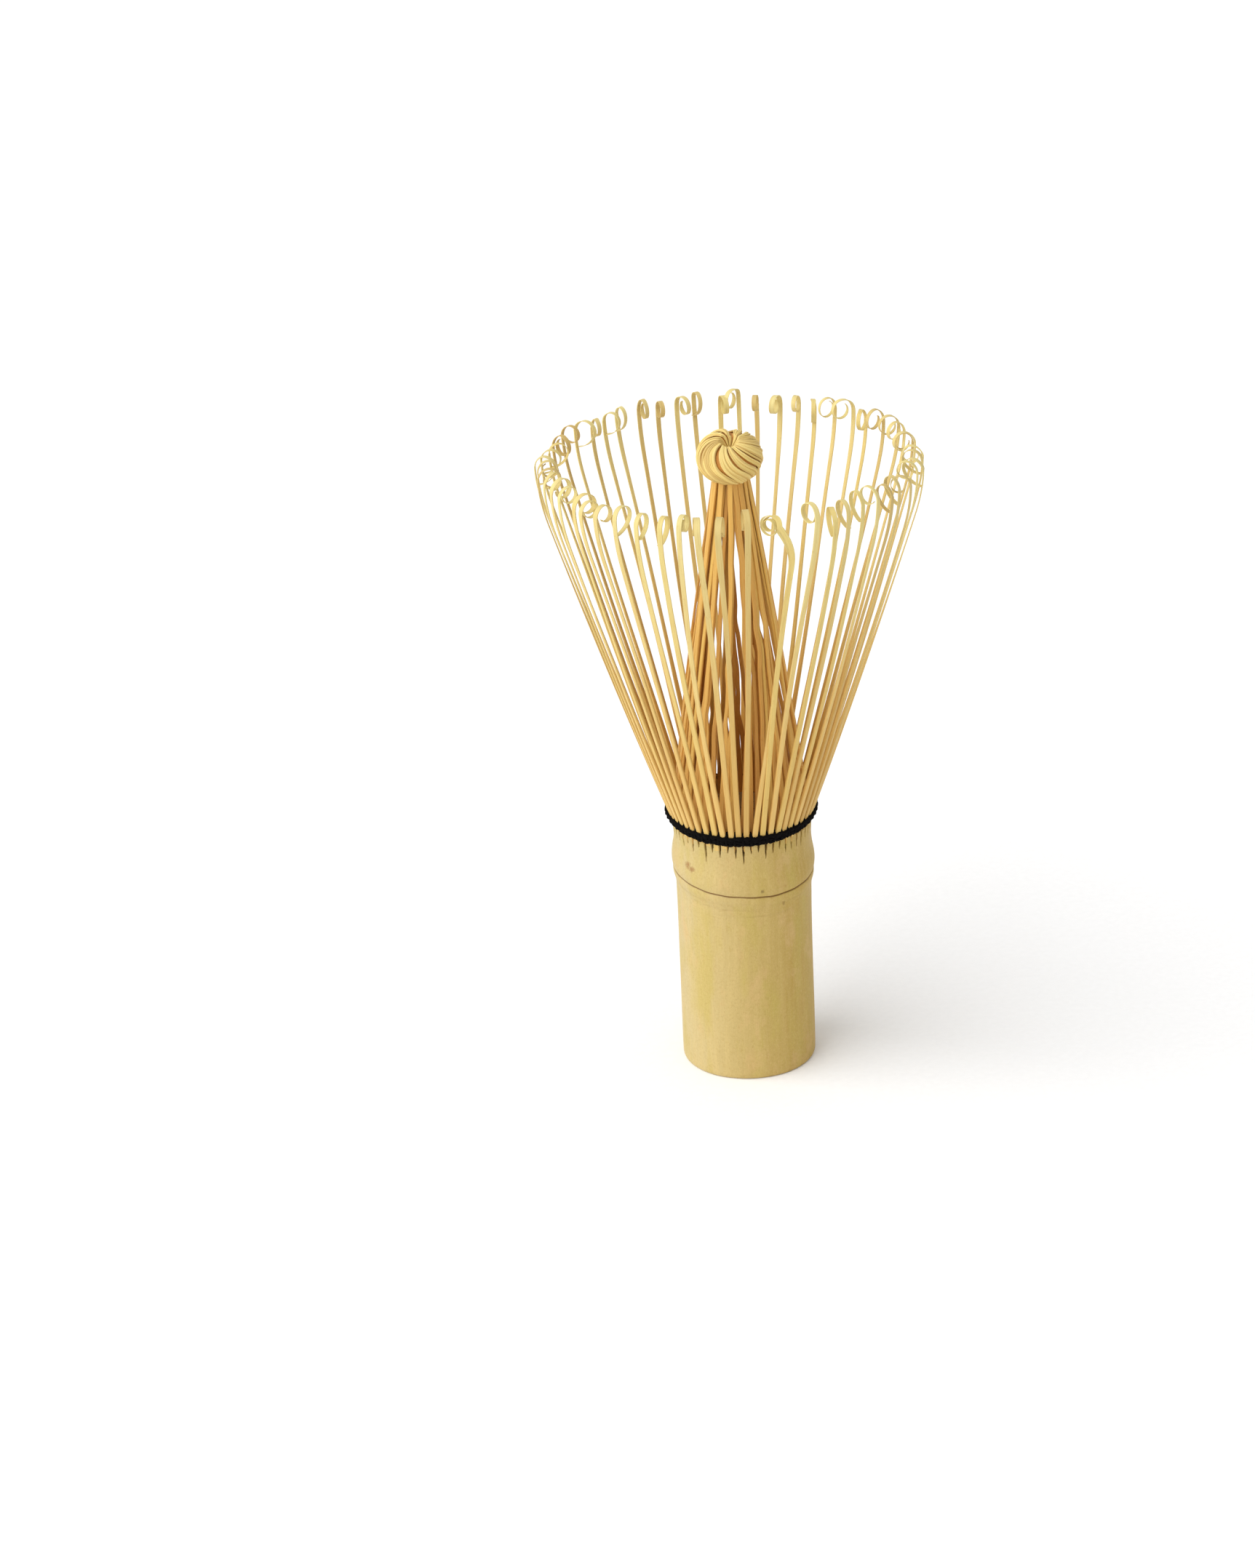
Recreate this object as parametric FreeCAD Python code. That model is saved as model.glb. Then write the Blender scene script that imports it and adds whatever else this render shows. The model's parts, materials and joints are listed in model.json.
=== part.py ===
"""Bamboo tea whisk (chasen): a culm grip, a ring of curled outer tines, a core of inner tines and its thread.

Millimetres, +Z up, origin at the centre of the grip's flat foot. The whisk is cut from one length of bamboo:
the lower internode is the grip, and above the node the wall is split into two rows of tines. The outer row
flares out and curls in at the tips. The inner row leans in to the axis and is twisted into a round crown.
A thread wound at the roots holds the two rows apart. Each outer tine bends about its own root.
"""
import FreeCAD, Part
import math
import os

from FreeCAD import Vector

# Culm: the grip, the node and the split end. Points of its outline are (radius, height).
GRIP_RADIUS = 10.6
FOOT_EDGE = 0.4
GRIP_TOP = 27.0
GRIP_FLARE = (10.76, 29.6)
LIP = (11.12, 32.3)
NODE_HOLLOW = (11.1, 33.2)
SHOULDER = (11.25, 34.7)
SHOULDER_SLOPE = (11.14, 35.9)
WAIST = (10.92, 37.0)
WAIST_HOLLOW = (10.84, 38.7)
SPLIT_END = (10.93, 40.6)

# The node's line: a shallow groove round the culm that isn't quite square to the axis.
NODE_LINE_HEIGHT = 33.4
NODE_LINE_RADIUS = 11.2
NODE_LINE_HALF_WIDTH = 0.2
NODE_LINE_NORMAL = (0.052, -0.098, 1.0)
BORE_RADIUS = 7.0
SEPTUM_BOTTOM = 30.4
SEPTUM_TOP = 32.2
CAVITY_RADIUS = 7.4
CAVITY_TAPER_START = 34.0
SPLIT_WALL_INNER_RADIUS = 9.3

# Outer tines: one flat strip each, in a plane through the axis.
TINE_COUNT = 56
TINE_PITCH = 360.0 / TINE_COUNT
ROOT_RADIUS = 10.65
ROOT_HEIGHT = 41.0
TINE_WIDTH = 0.78
ROOT_THICKNESS = 0.56
BEND_THICKNESS = 0.26
CURL_THICKNESS = 0.16
ROOT_LEAN = 19.9
SHAFT_BEND_RADIUS = 1400.0
SHAFT_TOP = 92.0
TIP_LEAN = 2.0
TIP_BEND_TOP = 100.4
CURL_RADIUS = 1.62
CURL_TIGHTENING = 0.84
CURL_TURNS = (180.0, 165.0)

# Inner tines and the crown that their ends are twisted into.
INNER_ROOT_RADIUS = 10.0
INNER_FOOT = 41.05
INNER_WIDTH = 0.36
INNER_THICKNESS = 0.28
INNER_ROOT_LEAN = 6.0
INNER_STRAIGHT_START = 60.0
INNER_TOP = 98.3
INNER_LEANS = (-10.0, -10.95)
CROWN_FOOT = 98.4
CROWN_FOOT_RADIUS = 3.1
CROWN_UNDERSIDE = (4.63, 99.8)
CROWN_RADIUS = 5.05
CROWN_MIDDLE = 101.8
CROWN_SIDE = (4.18, 104.35)
CROWN_TOP = 105.2
CROWN_CREST_RADIUS = 2.3
CROWN_INNER_SLOPE = (1.05, 104.75)
CROWN_DIMPLE = (0.4, 103.85)

# Thread: two rounds outside the outer tines, one between the rows, and a stitch in each gap of the outer row.
THREAD_DIAMETER = 0.5
OUTER_ROUNDS = ((11.665, 41.95), (11.866, 42.42))
INNER_ROUND = (10.59, 43.0)
INNER_ROUND_DIAMETER = 0.3
STITCH_DIAMETER = 0.2
STITCH_END_GAP = 0.02


def radial_point(radius, height):
    """A point of the plane through the axis and +X."""
    return Vector(radius, 0, height)


def line(start, end):
    return Part.LineSegment(start, end).toShape()


def arc(start, middle, end):
    return Part.Arc(start, middle, end).toShape()


def direction(lean):
    """The upward direction that leans out from the axis by this many degrees."""
    return Vector(math.sin(math.radians(lean)), 0, math.cos(math.radians(lean)))


def inward(lean):
    """The normal of that direction, towards the axis."""
    return Vector(-math.cos(math.radians(lean)), 0, math.sin(math.radians(lean)))


def bend(start, lean, radius, turn):
    """The (point, lean) at the start, middle and end of an arc that turns towards the axis by turn degrees."""
    centre = start + inward(lean) * radius
    stations = []
    for share in (0.0, 0.5, 1.0):
        leaned = lean - turn * share
        stations.append((centre - inward(leaned) * radius, leaned))
    return stations


def bend_up_to(start, lean, height, end_lean):
    """An arc from start that reaches this height with this lean."""
    rise = math.sin(math.radians(lean)) - math.sin(math.radians(end_lean))
    return bend(start, lean, (height - start.z) / rise, lean - end_lean)


def strip_solid(bends, thicknesses, width, round_foot):
    """A flat strip that follows the bends, with a thickness at each joint between them, closed as one solid.

    With round_foot, the foot is half a cylinder about the first point, which is the hinge axis of the strip.
    """
    outer_edges = []
    inner_edges = []
    for stations, start_thickness, end_thickness in zip(bends, thicknesses, thicknesses[1:]):
        outer_points = []
        inner_points = []
        for (point, lean), share in zip(stations, (0.0, 0.5, 1.0)):
            half = (start_thickness + (end_thickness - start_thickness) * share) / 2
            outer_points.append(point - inward(lean) * half)
            inner_points.append(point + inward(lean) * half)
        outer_edges.append(arc(*outer_points))
        inner_edges.append(arc(*inner_points))
    foot_point, foot_lean = bends[0][0]
    foot_half = thicknesses[0] / 2
    foot_outer = foot_point - inward(foot_lean) * foot_half
    foot_inner = foot_point + inward(foot_lean) * foot_half
    if round_foot:
        foot = arc(foot_inner, foot_point - direction(foot_lean) * foot_half, foot_outer)
    else:
        foot = line(foot_inner, foot_outer)
    tip = line(outer_edges[-1].Vertexes[-1].Point, inner_edges[-1].Vertexes[-1].Point)
    outline = Part.Wire(Part.__sortEdges__(outer_edges + [tip, foot] + inner_edges))
    solid = Part.Face(outline).extrude(Vector(0, width, 0))
    solid.translate(Vector(0, -width / 2, 0))
    return solid


def unevenness(index, kind):
    """A repeatable value from -1 to 1, because no two tines are split and curled alike."""
    return math.sin(index * 12.9898 + kind * 78.233)


def tine_azimuth(index):
    """Where outer tine index stands round the axis, in degrees from +X."""
    return (index + 0.5) * TINE_PITCH + 0.5 * unevenness(index, 1)


def outer_tine(index):
    """One outer tine: a shaft that flares out, a bend up near the top, and a curl in towards the axis."""
    root = radial_point(ROOT_RADIUS, ROOT_HEIGHT)
    root_lean = ROOT_LEAN + 0.25 * unevenness(index, 2)
    shaft_rise = SHAFT_TOP - ROOT_HEIGHT
    shaft_turn = math.degrees(shaft_rise / math.cos(math.radians(root_lean)) / SHAFT_BEND_RADIUS)
    shaft = bend(root, root_lean, SHAFT_BEND_RADIUS, shaft_turn)
    tip_top = TIP_BEND_TOP + 0.35 * unevenness(index, 3)
    tip = bend_up_to(*shaft[-1], tip_top, TIP_LEAN)
    curl_radius = CURL_RADIUS * (1 + 0.1 * unevenness(index, 4))
    over = bend(*tip[-1], curl_radius, CURL_TURNS[0])
    under = bend(*over[-1], curl_radius * CURL_TIGHTENING, CURL_TURNS[1])
    thicknesses = [ROOT_THICKNESS, BEND_THICKNESS, CURL_THICKNESS, CURL_THICKNESS, CURL_THICKNESS]
    tine = strip_solid([shaft, tip, over, under], thicknesses, TINE_WIDTH, round_foot=True)
    tine.rotate(Vector(0, 0, 0), Vector(0, 0, 1), tine_azimuth(index))
    return tine


def inner_tine(index):
    """One inner tine, between two outer ones. Every second one leans in further, so that all fit at the crown."""
    lean = INNER_LEANS[index % 2]
    foot = radial_point(INNER_ROOT_RADIUS, INNER_FOOT)
    lower = bend_up_to(foot, INNER_ROOT_LEAN, INNER_STRAIGHT_START, lean)
    start = lower[-1][0]
    length = (INNER_TOP - start.z) / math.cos(math.radians(lean))
    straight = [(start + direction(lean) * (length * share), lean) for share in (0.0, 1.0)]
    half = INNER_THICKNESS / 2
    outer_points = [point - inward(at_lean) * half for point, at_lean in lower]
    inner_points = [point + inward(at_lean) * half for point, at_lean in lower]
    top_outer = straight[1][0] - inward(lean) * half
    top_inner = straight[1][0] + inward(lean) * half
    outline = Part.Wire([
        arc(*outer_points),
        line(outer_points[-1], top_outer),
        line(top_outer, top_inner),
        line(top_inner, inner_points[-1]),
        arc(*reversed(inner_points)),
        line(inner_points[0], outer_points[0]),
    ])
    tine = Part.Face(outline).extrude(Vector(0, INNER_WIDTH, 0))
    tine.translate(Vector(0, -INNER_WIDTH / 2, 0))
    tine.rotate(Vector(0, 0, 0), Vector(0, 0, 1), index * TINE_PITCH)
    return tine


def revolved(edges):
    """The solid that a closed outline in the plane of the axis makes when it turns once round."""
    face = Part.Face(Part.Wire(edges))
    return face.revolve(Vector(0, 0, 0), Vector(0, 0, 1), 360)


def culm():
    """The grip with its bore, the node with its septum, and the thinned wall that the tines are split from."""
    foot_inner = radial_point(BORE_RADIUS, 0)
    foot_outer = radial_point(GRIP_RADIUS - FOOT_EDGE, 0)
    grip_foot = radial_point(GRIP_RADIUS, FOOT_EDGE)
    grip_top = radial_point(GRIP_RADIUS, GRIP_TOP)
    lip = radial_point(*LIP)
    shoulder = radial_point(*SHOULDER)
    waist = radial_point(*WAIST)
    split_outer = radial_point(*SPLIT_END)
    split_inner = radial_point(SPLIT_WALL_INNER_RADIUS, SPLIT_END[1])
    cavity_top = radial_point(CAVITY_RADIUS, CAVITY_TAPER_START)
    cavity_foot = radial_point(CAVITY_RADIUS, SEPTUM_TOP)
    septum_top = radial_point(0, SEPTUM_TOP)
    septum_bottom = radial_point(0, SEPTUM_BOTTOM)
    bore_end = radial_point(BORE_RADIUS, SEPTUM_BOTTOM)
    edge_slant = FOOT_EDGE * (1 - math.sqrt(0.5))
    body = revolved([
        line(foot_inner, foot_outer),
        arc(foot_outer, radial_point(GRIP_RADIUS - edge_slant, edge_slant), grip_foot),
        line(grip_foot, grip_top),
        arc(grip_top, radial_point(*GRIP_FLARE), lip),
        arc(lip, radial_point(*NODE_HOLLOW), shoulder),
        arc(shoulder, radial_point(*SHOULDER_SLOPE), waist),
        arc(waist, radial_point(*WAIST_HOLLOW), split_outer),
        line(split_outer, split_inner),
        line(split_inner, cavity_top),
        line(cavity_top, cavity_foot),
        line(cavity_foot, septum_top),
        line(septum_top, septum_bottom),
        line(septum_bottom, bore_end),
        line(bore_end, foot_inner),
    ])
    centre = radial_point(0, NODE_LINE_HEIGHT)
    node_line = Part.makeTorus(NODE_LINE_RADIUS, NODE_LINE_HALF_WIDTH, centre, Vector(*NODE_LINE_NORMAL))
    return body.cut(node_line).Solids[0]


def crown():
    """The twisted ends of the inner tines, as the round bun with a dimple that they fill."""
    foot_centre = radial_point(0, CROWN_FOOT)
    foot_edge = radial_point(CROWN_FOOT_RADIUS, CROWN_FOOT)
    middle = radial_point(CROWN_RADIUS, CROWN_MIDDLE)
    crest = radial_point(CROWN_CREST_RADIUS, CROWN_TOP)
    dimple_edge = radial_point(*CROWN_DIMPLE)
    dimple_centre = radial_point(0, CROWN_DIMPLE[1])
    return revolved([
        line(foot_centre, foot_edge),
        arc(foot_edge, radial_point(*CROWN_UNDERSIDE), middle),
        arc(middle, radial_point(*CROWN_SIDE), crest),
        arc(crest, radial_point(*CROWN_INNER_SLOPE), dimple_edge),
        line(dimple_edge, dimple_centre),
        line(dimple_centre, foot_centre),
    ])


def thread_round(place, diameter):
    """One round of thread about the axis, at this radius and height."""
    radius, height = place
    return Part.makeTorus(radius, diameter / 2, Vector(0, 0, height), Vector(0, 0, 1))


def thread_stitch(index):
    """The thread where it passes from the outer rounds to the inner one, between tine index and the next."""
    outer_end = radial_point(*OUTER_ROUNDS[1])
    across = radial_point(*INNER_ROUND) - outer_end
    clear_ends = (THREAD_DIAMETER + INNER_ROUND_DIAMETER) / 2 + 2 * STITCH_END_GAP
    length = across.Length - clear_ends
    across.normalize()
    start = outer_end + across * (THREAD_DIAMETER / 2 + STITCH_END_GAP)
    stitch = Part.makeCylinder(STITCH_DIAMETER / 2, length, start, across)
    next_azimuth = tine_azimuth((index + 1) % TINE_COUNT) + 360 * ((index + 1) // TINE_COUNT)
    stitch.rotate(Vector(0, 0, 0), Vector(0, 0, 1), (tine_azimuth(index) + next_azimuth) / 2)
    return stitch


def binding_thread():
    """The whole thread: its rounds, and the stitches that tie them together."""
    rounds = [thread_round(place, THREAD_DIAMETER) for place in OUTER_ROUNDS]
    rounds.append(thread_round(INNER_ROUND, INNER_ROUND_DIAMETER))
    return rounds + [thread_stitch(index) for index in range(TINE_COUNT)]


def save(name, solids):
    """Writes one node. Every piece in it is checked first."""
    for solid in solids:
        if not solid.isValid() or solid.ShapeType != "Solid" or solid.Volume <= 0:
            raise ValueError(f"{name} has a bad solid")
    shape = solids[0] if len(solids) == 1 else Part.makeCompound(solids)
    shape.exportStep(f"parts/{name}.step")
    print(f"{name}: {len(solids)} solid(s), {sum(solid.Volume for solid in solids):.1f} mm3")


def main():
    os.makedirs("parts", exist_ok=True)
    save("handle", [culm()])
    for index in range(TINE_COUNT):
        save(f"outer_tine_{index + 1:02d}", [outer_tine(index)])
    save("inner_tines", [inner_tine(index) for index in range(TINE_COUNT)])
    save("crown", [crown()])
    save("binding_thread", binding_thread())


main()
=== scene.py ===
import json
import math
import random

import bpy
from mathutils import Matrix, Vector


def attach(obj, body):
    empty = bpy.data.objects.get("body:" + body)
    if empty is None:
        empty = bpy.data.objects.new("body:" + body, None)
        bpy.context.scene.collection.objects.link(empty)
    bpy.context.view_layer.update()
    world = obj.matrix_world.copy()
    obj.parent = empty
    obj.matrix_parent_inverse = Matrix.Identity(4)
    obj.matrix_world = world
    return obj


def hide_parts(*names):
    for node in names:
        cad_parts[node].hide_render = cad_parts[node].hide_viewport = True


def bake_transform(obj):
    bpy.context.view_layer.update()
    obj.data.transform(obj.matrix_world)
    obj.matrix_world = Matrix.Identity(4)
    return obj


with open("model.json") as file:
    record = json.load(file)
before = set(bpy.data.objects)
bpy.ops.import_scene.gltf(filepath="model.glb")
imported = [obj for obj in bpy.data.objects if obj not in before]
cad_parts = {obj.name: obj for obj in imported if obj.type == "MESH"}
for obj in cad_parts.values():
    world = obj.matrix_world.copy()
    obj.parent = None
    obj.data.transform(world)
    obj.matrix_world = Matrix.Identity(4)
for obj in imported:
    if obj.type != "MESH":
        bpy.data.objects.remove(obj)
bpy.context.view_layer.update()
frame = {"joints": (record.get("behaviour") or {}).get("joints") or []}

MM = 0.001

# Culm: its outline from foot to split end, in millimetres as (height, radius).
CULM_OUTLINE = (
    (0.0, 10.2), (0.12, 10.45), (0.45, 10.62), (6.0, 10.66), (16.0, 10.63), (25.0, 10.64), (28.4, 10.68),
    (30.8, 10.74), (31.9, 10.98), (32.5, 11.12), (33.1, 11.13), (33.43, 11.08), (33.8, 11.2), (34.8, 11.3),
    (36.0, 11.2), (37.3, 10.97), (38.7, 10.84), (40.0, 10.89), (41.3, 11.0),
)
CULM_TOP = 41.3
NODE_LINE = 33.43
NODE_TILT_X = -0.58
NODE_TILT_Y = 1.09
NODE_LINE_WRINKLES = (-1.7, -2.5, -3.5)
BORE_RADIUS = 7.0
SEPTUM_BOTTOM = 30.4
SEPTUM_TOP = 32.2
CAVITY_RADIUS = 7.4
SPLIT_INNER_RADIUS = 9.4
SPLIT_RADIUS = 10.9

# Outer tines.
ROOT_START = (10.58, 40.3)
START_LEAN = 3.0
SPLAY_STEPS = 6
SPLAY_LENGTH = 2.2
ROOT_LEAN = 19.6
SHAFT_BEND_RADIUS = 1400.0
SHAFT_STEP = 1.9
SHAFT_TOP = 92.0
TIP_TOP = 100.7
TIP_LEAN = 2.0
CURL_RADIUS = 1.7
CURL_STEP = 11.0
RIM_RADIUS = 28.5
ROOT_WIDTH = 0.88
ROOT_THICKNESS = 0.56
SHAFT_THICKNESS = 0.2
CURL_THICKNESS = 0.19
TIP_THICKNESS = 0.1

# Gaps in the rim that tips lean away from, as (azimuth, width) in degrees.
TIP_GAPS = ((96.8, 2.6), (-158.0, 2.0), (-20.0, 2.5), (30.0, 1.5))

# How far single tips at the front lean aside, in degrees, at each tine's azimuth.
FRONT_TIPS = (
    (-118.9, 0.8), (-112.5, 1.0), (-106.1, 0.0), (-99.6, -0.8), (-93.2, -1.3), (-86.8, 1.0), (-80.4, 8.9),
    (-74.0, 2.2), (-67.5, 2.6), (-61.1, 2.0), (-54.6, 1.5), (-48.2, 1.0), (-41.8, 0.6),
)
HIDDEN_TINE_AZIMUTH = -80.4
BENT_TINE_AZIMUTH = -74.0

# Inner tines and the crown.
STICK_ROOT_RADIUS = 10.0
STICK_FOOT = 40.4
STICK_TOP = 99.2
STICK_KNEE = 48
STICK_TOP_RADIUS = 2.55
CROWN_CORE_RADIUS = 1.65
CROWN_TUBE_RADIUS = 3.3
CROWN_MIDDLE = 101.7
CROWN_STRANDS = 108
STRANDS_PER_BUNDLE = 4
CROWN_TIP = 20.0
CROWN_NOTCH = 88.0
CROWN_NOTCH_DEPTH = 0.42

# Slits that can be looked through from the front, in mm: how far right of the axis, how high on it, half
# the height, and how far the sticks stand aside. SLIT_FALL is how fast the line of sight falls.
SLITS = (
    (0.7, 93.5, 1.2, 0.12),
    (0.8, 84.4, 1.8, 0.3),
    (0.6, 74.9, 1.3, 0.4),
    (3.9, 73.6, 1.2, 0.42),
    (2.8, 69.4, 1.4, 0.42),
    (-0.8, 66.6, 1.5, 0.42),
    (-4.5, 59.2, 1.2, 0.4),
    (0.5, 58.9, 1.6, 0.45),
    (-1.6, 57.2, 1.4, 0.4),
    (-2.5, 55.8, 1.7, 0.42),
    (4.9, 54.0, 1.5, 0.45),
)
SLIT_FALL = 0.415

# Thread.
THREAD_LEVEL = 42.15
THREAD_SIDE_RISE = 0.95
THREAD_HALF = 0.25
THREAD_TURNS = 3
PLY_TURNS_PER_MM = 0.9

# Camera: its place in millimetres and its angles in degrees.
CAMERA_LENS = 100.19
CAMERA_SENSOR = 36.0
CAMERA_PLACE = (0, -627.2, 329.3)
CAMERA_YAW = 1.626
CAMERA_PITCH = -24.171
CAMERA_ROLL = 2.606

# Studio light, with its angles in degrees.
SKY_STRENGTH = 0.66
KEY_STRENGTH = 2.3
KEY_SPREAD = 70
KEY_AZIMUTH = -152
KEY_ELEVATION = 40
FLOOR_HALF = 6


def smooth(share):
    """Eases from 0 to 1, and stays at 0 before and at 1 after."""
    share = min(max(share, 0.0), 1.0)
    return share * share * (3 - 2 * share)


def mix(a, b, share):
    return a + (b - a) * share


def turned(radius, azimuth, height):
    """The point at this radius, azimuth in radians and height, from millimetres."""
    return Vector((radius * math.cos(azimuth), radius * math.sin(azimuth), height)) * MM


def degrees_past(azimuth, place):
    """How far this azimuth in radians lies past a place in degrees, from -180 to 180."""
    return (math.degrees(azimuth) - place + 180) % 360 - 180


def mesh_piece(name, vertices, faces, material, numbers=None, vectors=None, sharp=40):
    """A mesh object with smooth faces, sharp creases, and named values at its vertices for its material."""
    mesh = bpy.data.meshes.new(name)
    mesh.from_pydata([tuple(v) for v in vertices], [], faces)
    for label, values in (numbers or {}).items():
        mesh.attributes.new(label, "FLOAT", "POINT").data.foreach_set("value", values)
    for label, values in (vectors or {}).items():
        flat = [coordinate for value in values for coordinate in value]
        mesh.attributes.new(label, "FLOAT_VECTOR", "POINT").data.foreach_set("vector", flat)
    mesh.polygons.foreach_set("use_smooth", [True] * len(mesh.polygons))
    mesh.set_sharp_from_angle(angle=math.radians(sharp))
    mesh.materials.append(material)
    mesh.update()
    piece = bpy.data.objects.new(name, mesh)
    bpy.context.collection.objects.link(piece)
    return piece


def tube_faces(rings, size, closed=False):
    """The faces of a tube through rings of size points each, capped unless it closes on itself."""
    faces = []
    for ring in range(rings if closed else rings - 1):
        following = (ring + 1) % rings
        for k in range(size):
            beside = (k + 1) % size
            here, there = ring * size, following * size
            faces.append((here + k, here + beside, there + beside, there + k))
    if not closed:
        faces.append(tuple(reversed(range(size))))
        faces.append(tuple(range((rings - 1) * size, rings * size)))
    return faces


# ---------------------------------------------------------------- materials

class Shader:
    """A material's node tree, with short calls to add nodes to it."""

    def __init__(self, name):
        self.material = bpy.data.materials.new(name)
        self.material.use_nodes = True
        self.tree = self.material.node_tree
        self.bsdf = self.tree.nodes["Principled BSDF"]

    def node(self, kind, inputs=(), **settings):
        """A node with these settings. Each input is (socket, value or output socket)."""
        made = self.tree.nodes.new(kind)
        for key, value in settings.items():
            setattr(made, key, value)
        for socket, value in inputs:
            if isinstance(value, bpy.types.NodeSocket):
                self.tree.links.new(value, made.inputs[socket])
            else:
                made.inputs[socket].default_value = value
        return made

    def attribute(self, label, output="Fac"):
        return self.node("ShaderNodeAttribute", attribute_name=label).outputs[output]

    def noise(self, vector, scale, detail=4.0, roughness=0.6):
        made = self.node("ShaderNodeTexNoise", [("Vector", vector), ("Scale", scale), ("Detail", detail),
                                                ("Roughness", roughness)])
        return made.outputs["Fac"]

    def stretched(self, vector, factors):
        return self.node("ShaderNodeVectorMath", [(0, vector), (1, factors)], operation="MULTIPLY").outputs[0]

    def ramp(self, value, low, high, to_low=0.0, to_high=1.0):
        made = self.node("ShaderNodeMapRange", [("Value", value), ("From Min", low), ("From Max", high),
                                                ("To Min", to_low), ("To Max", to_high)], clamp=True)
        return made.outputs["Result"]

    def blend(self, share, first, second):
        made = self.node("ShaderNodeMix", data_type="RGBA")
        for socket, value in ((0, share), (6, first), (7, second)):
            if isinstance(value, bpy.types.NodeSocket):
                self.tree.links.new(value, made.inputs[socket])
            else:
                made.inputs[socket].default_value = value
        return made.outputs[2]

    def maths(self, operation, first, second):
        return self.node("ShaderNodeMath", [(0, first), (1, second)], operation=operation).outputs[0]

    def finish(self, colour, roughness, height, bump_mm, gloss=0.35):
        """Joins the colour, the roughness and a bump of this many millimetres to the surface."""
        bump = self.node("ShaderNodeBump", [("Height", height), ("Strength", 1.0),
                                            ("Distance", bump_mm * MM)])
        self.tree.links.new(colour, self.bsdf.inputs["Base Color"])
        self.tree.links.new(roughness, self.bsdf.inputs["Roughness"])
        self.tree.links.new(bump.outputs[0], self.bsdf.inputs["Normal"])
        self.bsdf.inputs["Specular IOR Level"].default_value = gloss
        return self.material


def rgb(red, green, blue):
    """A display colour, from 0 to 255 a channel, as linear light."""
    return tuple((channel / 255) ** 2.2 for channel in (red, green, blue)) + (1.0,)


CULM_MARKS = (
    # azimuth, height, radius, colour, strength
    (-141.5, 36.5, 0.8, rgb(146, 100, 56), 0.8),
    (-136.5, 36.0, 0.75, rgb(146, 100, 56), 0.75),
    (-75.5, 33.3, 0.5, rgb(96, 72, 32), 0.85),
    (-75.8, 33.9, 0.25, rgb(124, 94, 44), 0.7),
    (-117, 8.6, 0.3, rgb(140, 102, 50), 0.85),
    (-118, 9.2, 0.25, rgb(140, 102, 50), 0.7),
    (-102, 8.4, 0.35, rgb(128, 98, 44), 0.85),
    (-101, 9.3, 0.22, rgb(138, 108, 54), 0.7),
    (-88, 17.2, 0.4, rgb(166, 134, 72), 0.7),
    (-56, 30.3, 0.45, rgb(140, 108, 50), 0.75),
    (-104, 23.0, 0.6, rgb(172, 144, 72), 0.7),
    (-55, 33.6, 0.5, rgb(164, 106, 54), 0.55),
    (-45, 14.5, 0.4, rgb(146, 114, 58), 0.6),
    (60, 22.0, 0.5, rgb(146, 108, 56), 0.7),
    (150, 12.0, 0.6, rgb(160, 122, 66), 0.7),
    (110, 34.6, 0.5, rgb(156, 106, 58), 0.7),
)


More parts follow.
